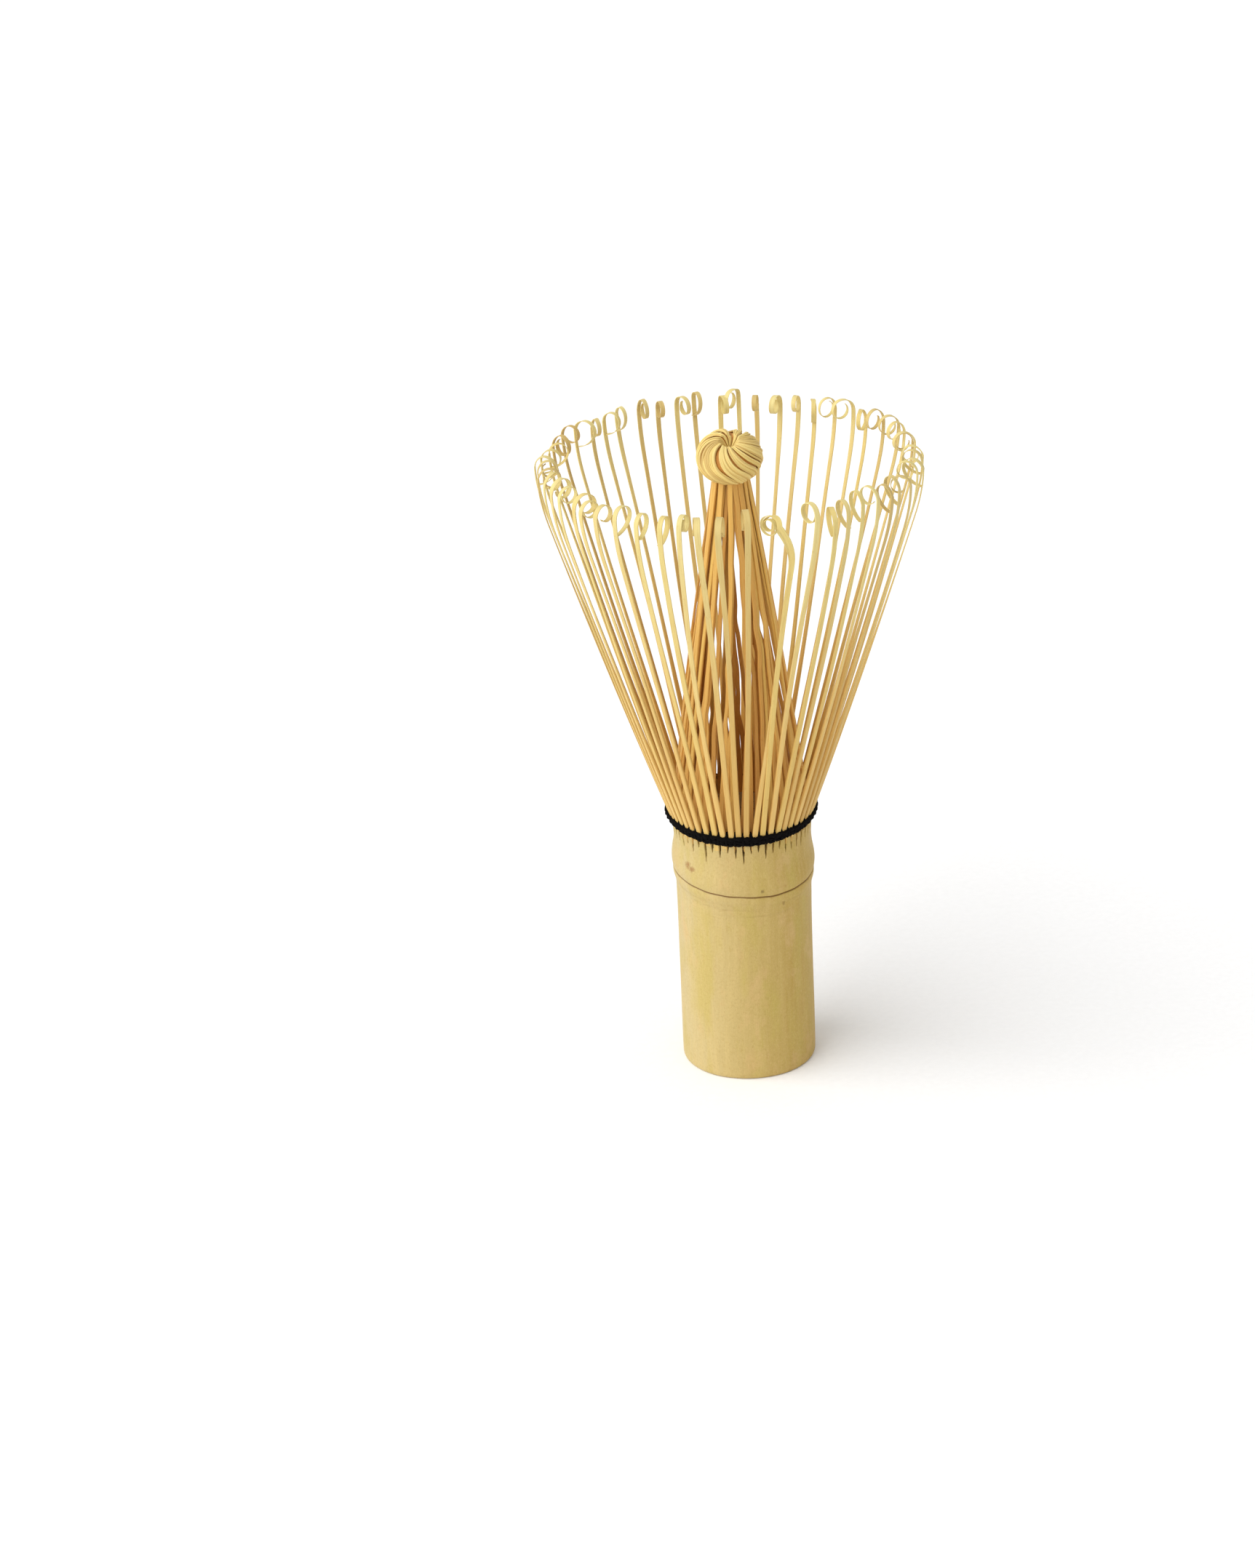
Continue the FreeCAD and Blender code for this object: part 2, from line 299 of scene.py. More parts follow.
def culm_material():
    """Dry bamboo rind: long pale and greenish streaks, fine mottling, a brown node line, paler ends, and
    painted shade towards +x and in the splits.
    """
    shader = Shader("bamboo_culm")
    place = shader.node("ShaderNodeTexCoord").outputs["Object"]
    in_mm = shader.stretched(place, (1 / MM, 1 / MM, 1 / MM))
    streaks = shader.noise(shader.stretched(in_mm, (1.0, 1.0, 0.06)), 0.7, 4.0)
    fibres = shader.noise(shader.stretched(in_mm, (1.0, 1.0, 0.05)), 7.0, 3.0)
    patches = shader.noise(shader.stretched(in_mm, (1.0, 1.0, 0.3)), 0.2, 3.0)
    blush = shader.noise(shader.stretched(in_mm, (1.0, 1.0, 0.6)), 0.3, 3.0)
    mottle = shader.noise(in_mm, 2.4, 6.0, 0.75)
    # Painted shade: the rind turns darker and more olive towards +x, the side away from the key light. This
    # is partly the rind's own olive tone and partly painted shade.
    side = shader.node("ShaderNodeSeparateXYZ", [("Vector", in_mm)]).outputs["X"]
    colour = shader.blend(shader.ramp(side, -9.0, 9.0), rgb(196, 176, 124), rgb(180, 147, 62))
    colour = shader.blend(shader.ramp(streaks, 0.35, 0.7, 0.0, 0.4), colour, rgb(212, 186, 122))
    colour = shader.blend(shader.ramp(patches, 0.5, 0.66, 0.0, 0.55), colour, rgb(186, 165, 80))
    colour = shader.blend(shader.ramp(blush, 0.54, 0.7, 0.0, 0.5), colour, rgb(208, 172, 116))
    colour = shader.blend(shader.ramp(fibres, 0.4, 0.65, 0.0, 0.16), colour, rgb(168, 138, 72))
    colour = shader.blend(shader.ramp(mottle, 0.5, 0.7, 0.0, 0.45), colour, rgb(166, 134, 66))
    speckle = shader.noise(shader.stretched(in_mm, (1.0, 1.0, 0.5)), 5.0, 3.0, 0.8)
    colour = shader.blend(shader.ramp(speckle, 0.5, 0.75, 0.0, 0.4), colour, rgb(216, 190, 128))
    for azimuth, height, radius, tone, strength in CULM_MARKS:
        centre = turned(11.0, math.radians(azimuth), height)
        wander = shader.node("ShaderNodeTexNoise", [("Vector", in_mm), ("Scale", 1.6)]).outputs["Color"]
        shifted = shader.node("ShaderNodeVectorMath", [(0, wander), (1, (0.5, 0.5, 0.5))],
                              operation="SUBTRACT")
        shifted = shader.stretched(shifted.outputs[0], (radius * 1.6 * MM,) * 3)
        moved = shader.node("ShaderNodeVectorMath", [(0, place), (1, shifted)], operation="ADD").outputs[0]
        away = shader.node("ShaderNodeVectorMath", [(0, moved), (1, centre)], operation="DISTANCE")
        away = away.outputs["Value"]
        mask = shader.ramp(away, radius * MM, radius * 0.25 * MM, 0.0, strength)
        colour = shader.blend(mask, colour, tone)
    cut = shader.attribute("cut")
    pores = shader.node("ShaderNodeTexVoronoi", [("Vector", in_mm), ("Scale", 2.4)]).outputs["Distance"]
    grain = shader.blend(shader.ramp(pores, 0.12, 0.34), rgb(150, 112, 62), rgb(224, 198, 142))
    colour = shader.blend(cut, colour, grain)
    colour = shader.blend(shader.attribute("groove"), colour, rgb(112, 74, 32))
    # Painted shade: the dents of the splits, and the bore above the septum, are darkened to brown in place of
    # the shade inside a real slit.
    colour = shader.blend(shader.attribute("split"), colour, rgb(106, 72, 34))
    roughness = shader.ramp(streaks, 0.3, 0.7, 0.46, 0.6)
    height = shader.maths("ADD", shader.maths("MULTIPLY", fibres, 0.5), mottle)
    return shader.finish(colour, roughness, height, 0.035)


def tine_material(name, face, heart, tip, dark):
    """Split bamboo: fibres along the strip, a paler rind face, a warmer heart side and a paler tip."""
    shader = Shader(name)
    fibre = shader.attribute("fibre", "Vector")
    fine = shader.noise(shader.stretched(fibre, (9.0, 9.0, 0.25)), 1.0, 3.0)
    long = shader.noise(shader.stretched(fibre, (1.3, 1.3, 0.05)), 1.0, 2.0)
    specks = shader.noise(shader.stretched(fibre, (2.0, 2.0, 0.8)), 1.0, 3.0, 0.7)
    colour = shader.blend(shader.attribute("rind"), heart, face)
    colour = shader.blend(shader.ramp(shader.attribute("along"), 0.2, 0.88), colour, tip)
    colour = shader.blend(shader.ramp(shader.attribute("tint"), 0.35, 1.0, 0.0, 0.55), colour, dark)
    colour = shader.blend(shader.ramp(shader.attribute("tint"), 0.3, 0.0, 0.0, 0.45), colour,
                          rgb(208, 180, 92))
    colour = shader.blend(shader.ramp(long, 0.45, 0.75, 0.0, 0.3), colour, heart)
    colour = shader.blend(shader.ramp(fine, 0.4, 0.7, 0.0, 0.3), colour, dark)
    colour = shader.blend(shader.ramp(specks, 0.62, 0.78, 0.0, 0.45), colour, dark)
    roughness = shader.ramp(fine, 0.3, 0.7, 0.5, 0.68)
    return shader.finish(colour, roughness, fine, 0.03)


def thread_material():
    """Black cotton: twisted plies with a little lint."""
    shader = Shader("thread")
    fibre = shader.attribute("fibre", "Vector")
    plies = shader.noise(shader.stretched(fibre, (6.0, 6.0, 2.0)), 1.0, 3.0)
    lint = shader.noise(shader.stretched(fibre, (3.0, 3.0, 3.0)), 1.0, 5.0, 0.8)
    colour = shader.blend(shader.ramp(plies, 0.35, 0.7), rgb(9, 8, 8), rgb(30, 27, 26))
    colour = shader.blend(shader.ramp(lint, 0.62, 0.8, 0.0, 0.45), colour, rgb(62, 56, 52))
    roughness = shader.ramp(plies, 0.3, 0.7, 0.85, 1.0)
    return shader.finish(colour, roughness, plies, 0.05, gloss=0.08)


def floor_material():
    """Matte white paper with a trace of tooth."""
    shader = Shader("studio_floor")
    place = shader.node("ShaderNodeTexCoord").outputs["Object"]
    tooth = shader.noise(place, 900.0, 2.0)
    colour = shader.blend(shader.ramp(tooth, 0.3, 0.7), rgb(249, 249, 249), rgb(252, 252, 252))
    return shader.finish(colour, shader.ramp(tooth, 0.3, 0.7, 0.85, 0.95), tooth, 0.002)


# ---------------------------------------------------------------- culm

def outline_radius(height):
    """The culm's radius at this height, eased between the points of its outline."""
    points = CULM_OUTLINE
    if height <= points[0][0]:
        return points[0][1]
    for i in range(len(points) - 1):
        (z0, r0), (z1, r1) = points[i], points[i + 1]
        if height <= z1:
            before = points[max(i - 1, 0)]
            after = points[min(i + 2, len(points) - 1)]
            span = z1 - z0
            slope0 = (r1 - before[1]) / (z1 - before[0]) if i else (r1 - r0) / span
            slope1 = (after[1] - r0) / (after[0] - z0)
            t = (height - z0) / span
            return ((2 * t ** 3 - 3 * t ** 2 + 1) * r0 + (t ** 3 - 2 * t ** 2 + t) * span * slope0
                    + (3 * t ** 2 - 2 * t ** 3) * r1 + (t ** 3 - t ** 2) * span * slope1)
    return points[-1][1]


def node_tilt(azimuth):
    """How far the node stands above its mean height here. It isn't square to the axis."""
    return NODE_TILT_X * math.cos(azimuth) + NODE_TILT_Y * math.sin(azimuth)


def node_line_height(azimuth):
    """The brown line of the node isn't quite level or even."""
    wave = 0.05 * math.sin(3 * azimuth + 0.6) + 0.04 * math.sin(7 * azimuth)
    wave += 0.03 * math.sin(19 * azimuth + 1)
    return NODE_LINE + node_tilt(azimuth) + wave


def culm(azimuths, material):
    """The grip, with a split between each two tines that opens towards the top, each a shallow dent darkened
    with painted shade.
    """
    rng = random.Random(11)
    count = len(azimuths)
    columns = []
    for i in range(count):
        here, following = azimuths[i], azimuths[(i + 1) % count]
        gap = (following - here) % math.tau
        middle = here + gap / 2
        half_mm = gap / 2 * SPLIT_RADIUS
        bottom = CULM_TOP - rng.choice((0.9, 1.2, 1.3, 1.6, 2.1, 2.2, 3.1)) * rng.uniform(0.85, 1.15)
        offsets = (-half_mm, -half_mm * 0.66, -half_mm * 0.4, -0.2, -0.11, -0.04, 0.04, 0.11, 0.2,
                   half_mm * 0.4, half_mm * 0.66)
        drift = rng.uniform(-0.05, 0.05)
        for offset in offsets:
            columns.append((middle + offset / SPLIT_RADIUS, offset, bottom, drift))
    levels = [0.0, 0.05, 0.12, 0.25, 0.45, 0.8]
    levels += [0.8 + 1.0 * k for k in range(1, 27)]
    levels += [27.3 + 0.25 * k for k in range(0, 16)]
    levels += [31.2 + 0.075 * k for k in range(0, 52)]
    levels += [35.3 + 0.45 * k for k in range(0, 5)]
    levels += [37.6 + 0.185 * k for k in range(0, 21)]
    vertices, groove, split, cut = [], [], [], []
    for height in levels:
        for azimuth, offset, bottom, drift in columns:
            near_node = smooth((height - 24) / 5) * smooth((40.5 - height) / 4)
            radius = outline_radius(height - near_node * node_tilt(azimuth))
            radius *= 1 + 0.003 * math.cos(2 * azimuth + 0.7)
            ripple = 0.015 * math.sin(5 * azimuth + height * 0.2)
            ripple += 0.01 * math.sin(11 * azimuth - height * 0.13)
            radius += ripple
            above = height - node_line_height(azimuth)
            radius -= 0.15 * smooth(1 - abs(above) / 0.2)
            brown = 0.9 * smooth(1.15 - abs(above) / 0.17)
            for wrinkle in NODE_LINE_WRINKLES:
                crease = smooth(1 - abs(above - wrinkle - 0.12 * math.sin(2 * azimuth + wrinkle)) / 0.22)
                crease *= 0.5 + 0.5 * math.sin(3 * azimuth + 2 * wrinkle)
                radius -= 0.02 * crease
                brown = max(brown, 0.13 * crease)
            opened = (height - bottom) / (CULM_TOP - bottom)
            half_width = 0.01 + 0.14 * smooth(opened)
            inside = 0.0
            if opened > 0:
                inside = max(0.0, 1 - abs(offset - drift * (1 - opened)) / (half_width + 0.07))
            sunk = smooth(inside * 1.3) * min(1.0, 0.2 + opened)
            radius -= 1.1 * sunk
            vertices.append(turned(radius, azimuth, height))
            groove.append(brown)
            # A split is only a shallow dent; this value darkens it with painted shade.
            split.append(min(1.0, sunk * 1.6))
            cut.append(0.0)
    outer_rows = len(levels)
    inner_rows = (
        (CULM_TOP, SPLIT_INNER_RADIUS), (37.5, 8.5), (34.0, CAVITY_RADIUS), (SEPTUM_TOP, CAVITY_RADIUS),
        (SEPTUM_TOP - 0.1, 4.0), (SEPTUM_TOP + 0.15, 0.02), (SEPTUM_BOTTOM - 0.1, 0.02), (SEPTUM_BOTTOM, 4.0),
        (SEPTUM_BOTTOM - 0.3, 6.4), (SEPTUM_BOTTOM - 1.2, BORE_RADIUS), (20.0, BORE_RADIUS + 0.04),
        (10.0, BORE_RADIUS - 0.03), (0.4, BORE_RADIUS), (0.0, BORE_RADIUS + 0.25),
    )
    for height, radius in inner_rows:
        for azimuth, offset, bottom, drift in columns:
            uneven = radius * (1 + 0.006 * math.sin(3 * azimuth + height))
            vertices.append(turned(uneven, azimuth, height))
            groove.append(0.0)
            # The bore above the septum gets part of the splits' painted shade.
            split.append(0.35 if height > SEPTUM_BOTTOM else 0.0)
            cut.append(0.75)
    for k in range(len(columns)):
        cut[k] = 1.0
    rows = outer_rows + len(inner_rows)
    faces = tube_faces(rows, len(columns), closed=True)
    return mesh_piece("culm", vertices, faces, material,
                      {"groove": groove, "split": split, "cut": cut}, sharp=50)


# ---------------------------------------------------------------- strips

def section(width, thickness):
    """A strip's cross-section: eight points round a bevelled rectangle, each with how much it is rind."""
    w, t = width / 2, thickness / 2
    bevel = min(w, t) * 0.45
    return (
        ((-w, t - bevel), 0.75), ((-w + bevel, t), 1.0), ((w - bevel, t), 1.0), ((w, t - bevel), 0.75),
        ((w, -t + bevel), 0.25), ((w - bevel, -t), 0.0), ((-w + bevel, -t), 0.0), ((-w, -t + bevel), 0.25),
    )


def strip(name, stations, material, tint, sharp=35):
    """A flat strip swept through stations of (point, across, outwards, width, thickness), in millimetres."""
    vertices, rind, along, fibre = [], [], [], []
    travelled = [0.0]
    for before, after in zip(stations, stations[1:]):
        travelled.append(travelled[-1] + (after[0] - before[0]).length)
    for (point, across, outwards, width, thickness), length in zip(stations, travelled):
        for (x, y), share in section(width, thickness):
            vertices.append((point + across * x + outwards * y) * MM)
            rind.append(share)
            along.append(length / travelled[-1])
            fibre.append((x + tint * 37, y + tint * 11, length))
    faces = tube_faces(len(stations), 8)
    return mesh_piece(name, vertices, faces, material,
                      {"rind": rind, "along": along, "tint": [tint] * len(rind)}, {"fibre": fibre}, sharp)


def framed(points, acrosses, widths, thicknesses):
    """Stations for strip(): each across is squared to the path, and outwards follows from both."""
    stations = []
    last = len(points) - 1
    for i, point in enumerate(points):
        tangent = (points[min(i + 1, last)] - points[max(i - 1, 0)]).normalized()
        across = (acrosses[i] - tangent * acrosses[i].dot(tangent)).normalized()
        outwards = across.cross(tangent)
        stations.append((point, across, outwards, widths[i], thicknesses[i]))
    return stations


def tine_path(root_lean, tip_top, curl_radius, curl_turn, teardrop):
    """The middle of a tine in its own upright plane, as (radius, height, share of the curl) at short steps.

    A curl either tightens into a spiral, or (teardrop) straightens again and runs back down to the shaft.
    """
    radius, height = ROOT_START
    lean = START_LEAN
    path = [(radius, height, 0.0)]

    def advance(length, turn):
        """One step of this length that turns inwards by turn degrees."""
        nonlocal radius, height, lean
        middle = math.radians(lean - turn / 2)
        radius += length * math.sin(middle)
        height += length * math.cos(middle)
        lean -= turn

    for _ in range(SPLAY_STEPS):
        advance(SPLAY_LENGTH / SPLAY_STEPS, -(root_lean - START_LEAN) / SPLAY_STEPS)
        path.append((radius, height, 0.0))
    while height < SHAFT_TOP:
        advance(SHAFT_STEP, math.degrees(SHAFT_STEP / SHAFT_BEND_RADIUS))
        path.append((radius, height, 0.0))
    steps = 10
    rise = tip_top - height
    length = rise / math.cos(math.radians((lean + TIP_LEAN) / 2)) / steps
    turn = (lean - TIP_LEAN) / steps
    for step in range(steps):
        share = (step + 0.5) / steps
        advance(length, turn * (0.5 + share))
        path.append((radius, height, 0.0))
    turned_so_far = 0.0
    shaft_radius = radius
    while turned_so_far < curl_turn:
        share = turned_so_far / curl_turn
        if teardrop:
            loosened = smooth((turned_so_far - 175) / 60)
            bend_radius = curl_radius * mix(0.9, 2.2, loosened)
            if turned_so_far > 180 and radius > shaft_radius - 0.6:
                break
        else:
            bend_radius = curl_radius * (1.0 - 0.36 * share)
        if turned_so_far < 60:
            bend_radius *= 1.2
        advance(math.radians(CURL_STEP) * bend_radius, CURL_STEP)
        turned_so_far += CURL_STEP
        path.append((radius, height, min(0.99, turned_so_far / curl_turn)))
    return path


def tine_surface(height):
    """The radius of the outer row's outside near its root, where the thread lies on it."""
    points = tine_path(ROOT_LEAN, TIP_TOP, CURL_RADIUS, 0.0, False)
    for (r0, z0, _), (r1, z1, _) in zip(points, points[1:]):
        if height <= z1:
            return mix(r0, r1, (height - z0) / (z1 - z0)) + ROOT_THICKNESS / 2
    return points[-1][0]


def tip_drift(azimuth):
    """How far a tine's tip stands to one side, in degrees, where its neighbours leave a gap."""
    drift = 0.0
    for middle, width in TIP_GAPS:
        away = degrees_past(azimuth, middle)
        if away:
            drift += math.copysign(width / 2, away) * math.exp(-abs(away) / 12)
    for place, lean in FRONT_TIPS:
        if abs(degrees_past(azimuth, place)) < 2:
            drift = lean
    return drift


def outer_tine(index, azimuth, bent, material):
    """One outer tine. No two bow, twist and curl alike."""
    rng = random.Random(1000 + index)
    frontness = max(0.0, -math.sin(azimuth)) ** 3
    teardrop = rng.random() < 0.25 + 0.4 * frontness and frontness < 0.93 and not bent
    hidden = abs(degrees_past(azimuth, HIDDEN_TINE_AZIMUTH)) < 2
    path = tine_path(
        ROOT_LEAN + rng.uniform(-0.5, 0.5) - (1.0 if hidden else 0.0),
        TIP_TOP + rng.uniform(-0.6, 0.45) - (1.0 if hidden else 0.0),
        CURL_RADIUS * rng.uniform(0.86, 1.12) * (0.72 if bent else 1.0),
        340.0 if teardrop else rng.uniform(320, 430) + (110.0 if bent else 0.0),
        teardrop,
    )
    drift = tip_drift(azimuth) + rng.gauss(0, 0.6) * (1 - 0.9 * frontness)
    side_step = math.radians(drift) * RIM_RADIUS
    hook = 0.0
    bow = rng.gauss(0, 0.24)
    curl_yaw = math.radians(rng.gauss(0, 15)) * (0.15 if frontness > 0.98 else 1.0)
    twist = math.radians(rng.gauss(0, 10))
    shaft_width = rng.uniform(0.54, 0.66) + 0.2 * frontness
    tip_width = rng.uniform(0.66, 0.88) + 0.12 * frontness
    if hidden:
        hook = -2.4
        curl_yaw = math.radians(-40)
        shaft_width = 0.5
        tip_width = 0.45
    if bent:
        hook = -2.5
        curl_yaw = math.radians(-50)
        twist = math.radians(-20)
        tip_width = 0.82
    radial = Vector((math.cos(azimuth), math.sin(azimuth), 0))
    sideways = Vector((-math.sin(azimuth), math.cos(azimuth), 0))
    curl_root = next(k for k, (_, _, curl) in enumerate(path) if curl > 0) - 1
    curl_radius, curl_height, _ = path[curl_root]
    points, acrosses, widths, thicknesses = [], [], [], []
    for radius, height, curl in path:
        rise = min(1.0, max(0.0, (height - 41.0) / (curl_height - 41.0)))
        if curl > 0:
            rise = 1.0
        offset = side_step * rise ** 1.6 + bow * math.sin(math.pi * rise) + 0.12 * math.sin(7 * rise + index)
        offset += hook * max(0.0, (rise - 0.89) / 0.11) ** 2
        inward = radius - curl_radius if curl > 0 else 0.0
        yaw = curl_yaw * smooth(curl * 3)
        base = radius - inward
        point = radial * (base + inward * math.cos(yaw)) + sideways * (offset - inward * math.sin(yaw))
        point += sideways * 0.35 * curl * (1 if index % 2 else -1)
        point.z = height
        turn = Matrix.Rotation(-yaw, 3, "Z") @ Matrix.Rotation(twist * smooth(rise), 3, "Z")
        points.append(point)
        acrosses.append(turn @ sideways if curl > 0 or bent else sideways)
        tip_share = smooth((height - 88) / 10) if curl == 0 else 1.0
        width = mix(mix(ROOT_WIDTH, shaft_width, smooth((height - 42) / 26)), tip_width, tip_share)
        width *= 1 - 0.4 * smooth((curl - 0.8) / 0.19)
        widths.append(width)
        thin = smooth((height - 44) / 50)
        if curl == 0:
            thicknesses.append(mix(ROOT_THICKNESS, SHAFT_THICKNESS, thin))
        else:
            thicknesses.append(mix(CURL_THICKNESS, TIP_THICKNESS, smooth(curl * 4)))
    tint = rng.random()
    name = f"tine_{index + 1:02d}"
    return strip(name, framed(points, acrosses, widths, thicknesses), material, tint)


# ---------------------------------------------------------------- core

def stick_radius(height):
    """The radius of the cone of inner tines: it stands up at the foot and leans in to the crown."""
    foot = STICK_ROOT_RADIUS
    if height < STICK_KNEE:
        return foot + 0.1 * math.sin((height - STICK_FOOT) / (STICK_KNEE - STICK_FOOT) * math.pi)
    share = (height - STICK_KNEE) / (STICK_TOP - STICK_KNEE)
    return foot - (foot - STICK_TOP_RADIUS) * (share ** 1.12)


def part_slits(points):
    """Moves a stick aside, to the left or the right, where it would close a slit."""
    shifts = [0.0] * len(points)
    for right, height, half, push in SLITS:
        above = [point.z + SLIT_FALL * point.y - height for point in points]
        nearest = min(range(len(points)), key=lambda k: abs(above[k]))
        away = points[nearest].x - right
        side = math.copysign(push, away) * math.exp(-abs(away) / 0.8)
        shifts = [shift + side * math.exp(-0.5 * (rise / half) ** 2) for shift, rise in zip(shifts, above)]
    for point, shift in zip(points, shifts):
        point.x += shift


def inner_stick(index, azimuth, material):
    """One inner tine, from the split wall to the underside of the crown."""
    rng = random.Random(5000 + index)
    layer = index % 3
    swing = math.radians(rng.gauss(0, 6) + 10)
    bow = rng.gauss(0, 0.4)
    foot_width = rng.uniform(0.9, 1.05)
    width = rng.uniform(0.54, 0.74)
    top_width = rng.uniform(0.6, 0.9) - 0.08 * layer
    points, acrosses, widths, thicknesses = [], [], [], []
    steps = 60
    for step in range(steps + 1):
        height = mix(STICK_FOOT, STICK_TOP, step / steps)
        rise = (height - STICK_FOOT) / (STICK_TOP - STICK_FOOT)
        inset = layer * 0.42 * smooth(rise * 1.4) + 0.12 * math.sin(5 * rise + index)
        radius = stick_radius(height) - inset
        angle = azimuth + swing * rise ** 1.5
        sideways = Vector((-math.sin(angle), math.cos(angle), 0))
        point = Vector((math.cos(angle), math.sin(angle), 0)) * radius
        point += sideways * bow * math.sin(math.pi * rise)
        point.z = height
        points.append(point)
        acrosses.append(Matrix.Rotation(math.radians(6 * layer), 3, "Z") @ sideways)
        widths.append(mix(mix(foot_width, width, smooth(rise * 2.6)), top_width, smooth(rise * 2 - 1)))
        thicknesses.append(mix(0.5, 0.32, rise))
    part_slits(points)
    stations = framed(points, acrosses, widths, thicknesses)
    return strip(f"inner_stick_{index + 1:02d}", stations, material, rng.random())


def crown_point(angle, azimuth, lift):
    """A point of the crown's surface, angle degrees round its section: 0 is its equator and 90 its crest."""
    if angle <= 90:
        radius = CROWN_CORE_RADIUS + (CROWN_TUBE_RADIUS + lift) * math.cos(math.radians(angle))
        height = (CROWN_TUBE_RADIUS + lift) * math.sin(math.radians(angle))
    else:
        sunk = math.radians(angle - 90)
        radius = 0.25 + (CROWN_CORE_RADIUS - 0.25) * math.cos(sunk)
        height = (CROWN_TUBE_RADIUS + lift) - 1.9 * (1 - math.cos(sunk))
        radius = max(0.2, radius * (1 - 0.15 * math.sin(sunk)))
    point = Vector((radius * math.cos(azimuth), radius * math.sin(azimuth), height))
    beside_notch = degrees_past(azimuth, CROWN_NOTCH)
    point.z -= CROWN_NOTCH_DEPTH * math.exp(-beside_notch ** 2 / 160) * smooth(angle / 60)
    point.z += 0.25 * math.sin(azimuth - 0.5) * smooth(-angle / 50)
    tipped = Matrix.Rotation(math.radians(CROWN_TIP * smooth((angle + 70) / 110)), 3, "X")
    return tipped @ point + Vector((0, 0, CROWN_MIDDLE))


def crown_strand(index, material):
    """One twisted fibre strand, from under the crown, out and over it, and down into the dimple."""
    rng = random.Random(9000 + index)
    bundle = index // STRANDS_PER_BUNDLE
    beside = 1.5 - index % STRANDS_PER_BUNDLE
    within = random.Random(9500 + bundle)
    slit = within.choice((0.0, 0.006, 0.014, 0.026))
    start = index / CROWN_STRANDS * math.tau + rng.gauss(0, 0.008)
    slit_middle = within.uniform(0.3, 0.55)
    lift = within.uniform(-0.14, 0.06) + rng.uniform(-0.11, 0.07) - 0.04 * abs(beside)
    sweep = math.radians(within.uniform(92, 116) + rng.uniform(-3, 3))
    steps = 40
    points, acrosses, widths, thicknesses = [], [], [], []
    for step in range(steps + 1):
        share = step / steps
        angle = mix(-78, 176, share)
        opening = smooth(1 - abs(share - slit_middle) / 0.3)
        azimuth = start - sweep * (1 - (1 - share) ** 1.5) + beside * slit * opening
        level = lift - 0.1 * smooth((share - 0.7) / 0.3) + 0.03 * math.sin(9 * share + index)
        point = crown_point(angle, azimuth, level)
        points.append(point)
        acrosses.append(crown_point(angle, azimuth + 0.01, level) - crown_point(angle, azimuth, level))
        reach = math.hypot(point.x, point.y)
        widths.append(min(0.3, 0.07 + reach * 0.06))
        thicknesses.append(mix(0.34, 0.22, share))
    lean = math.radians(rng.uniform(6, 34))
    level_stations = framed(points, acrosses, widths, thicknesses)
    stations = []
    for k, (point, across, outwards, width, thickness) in enumerate(level_stations):
        tipped = Matrix.Rotation(lean, 3, (points[min(k + 1, steps)] - points[max(k - 1, 0)]))
        stations.append((point, tipped @ across, tipped @ outwards, width, thickness))
    return strip(f"crown_strand_{index + 1:02d}", stations, material, rng.random())


def crown_filling(material):
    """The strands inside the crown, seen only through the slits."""
    size, rings = 72, 30
    vertices, rind, along, fibre = [], [], [], []
    for ring in range(rings):
        angle = mix(-88, 172, ring / (rings - 1))
        for k in range(size):
            azimuth = k / size * math.tau
            lift = -0.42 + 0.05 * math.sin(24 * azimuth + ring)
            vertices.append(crown_point(angle, azimuth, lift) * MM)
            rind.append(0.0)
            along.append(0.2)
            fibre.append((azimuth * 4, 0.0, ring * 0.5))
    # The heart side and a tint of 1.0 give the filling the darkest core tone: painted shade inside the crown.
    return mesh_piece("crown_filling", vertices, tube_faces(rings, size), material,
                      {"rind": rind, "along": along, "tint": [1.0] * len(rind)}, {"fibre": fibre})


# ---------------------------------------------------------------- thread

def ply_tube(name, points, radii, material, closed=False, size=10):
    """A thread of two twisted plies through these points, in millimetres."""
    count = len(points)
    vertices, fibre = [], []
    travelled = 0.0
    across = None
    for i, point in enumerate(points):
        after = points[(i + 1) % count] if closed else points[min(i + 1, count - 1)]
        before = points[i - 1] if closed or i else points[0]
        tangent = (after - before).normalized()
        if across is None:
            across = tangent.orthogonal().normalized()
        across = (across - tangent * across.dot(tangent)).normalized()
        side = tangent.cross(across)
        travelled += (point - before).length if i else 0.0
        twist = travelled * PLY_TURNS_PER_MM * math.tau
        for k in range(size):
            angle = k / size * math.tau
            bulge = 0.86 + 0.2 * abs(math.cos(angle - twist))
            offset = across * math.cos(angle) + side * math.sin(angle)
            vertices.append((point + offset * radii[i] * bulge) * MM)
            fibre.append((math.cos(angle - twist) * 2, math.sin(angle - twist) * 2, travelled))
    return mesh_piece(name, vertices, tube_faces(count, size, closed), material, None, {"fibre": fibre}, 60)


def thread_height(azimuth):
    """The thread lies lowest at the front and climbs at the sides and the back."""
    return THREAD_LEVEL + THREAD_SIDE_RISE * min(1.0, 1 - math.cos(azimuth + math.radians(84)))


